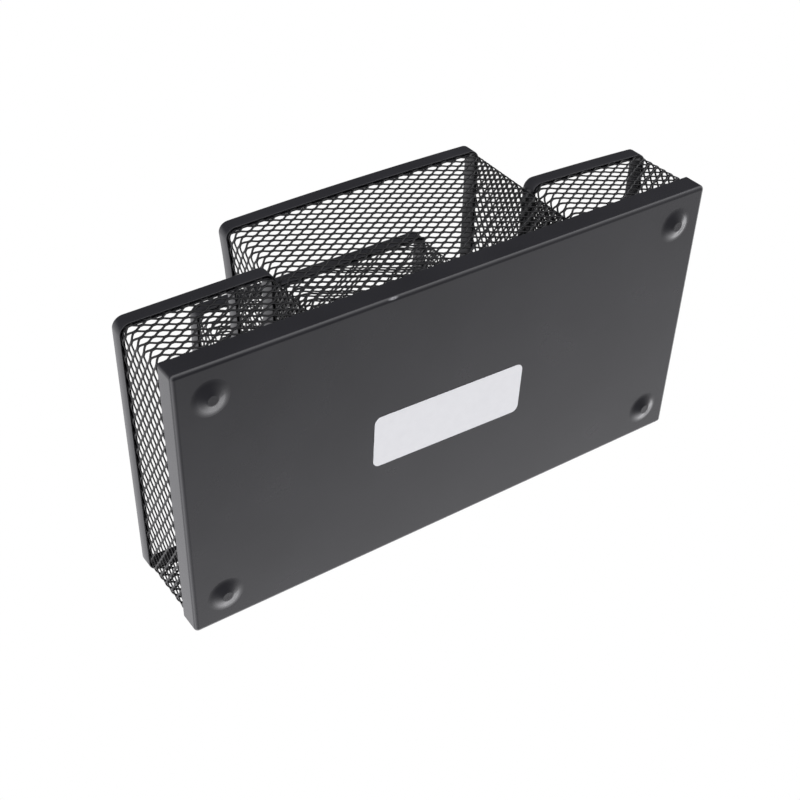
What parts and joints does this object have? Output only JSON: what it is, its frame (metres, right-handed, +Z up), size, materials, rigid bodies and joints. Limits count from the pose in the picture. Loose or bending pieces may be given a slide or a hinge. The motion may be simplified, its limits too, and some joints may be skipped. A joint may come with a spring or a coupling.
{
  "type": "desk organizer",
  "caption": "Black wire-mesh desk organizer: open-topped square-cornered mesh cups of stepped heights, with folded metal rims, fixed in a shallow stamped tray.",
  "frame": {"origin": "centre of the footprint, on the plane that the feet rest on", "axes": "+X along the long side of the tray, +Y from the low front towards the tall back cup, +Z up out of the cups"},
  "size_m": [0.2072, 0.1054, 0.0986],
  "materials": {
    "tray_paint": "satin black powder coat",
    "rim_paint": "satin black powder coat",
    "mesh_paint": "satin black powder coat",
    "label": "smooth white vinyl sticker, blank"
  },
  "bodies": {
    "root": {"base_tray": "tray_paint", "underside_label": "label", "left_cup_mesh": "mesh_paint", "left_cup_rim": "rim_paint", "right_cup_mesh": "mesh_paint", "right_cup_rim": "rim_paint", "front_cup_mesh": "mesh_paint", "front_cup_rim": "rim_paint", "back_cup_mesh": "mesh_paint", "back_cup_rim": "rim_paint"}
  },
  "joints": []
}
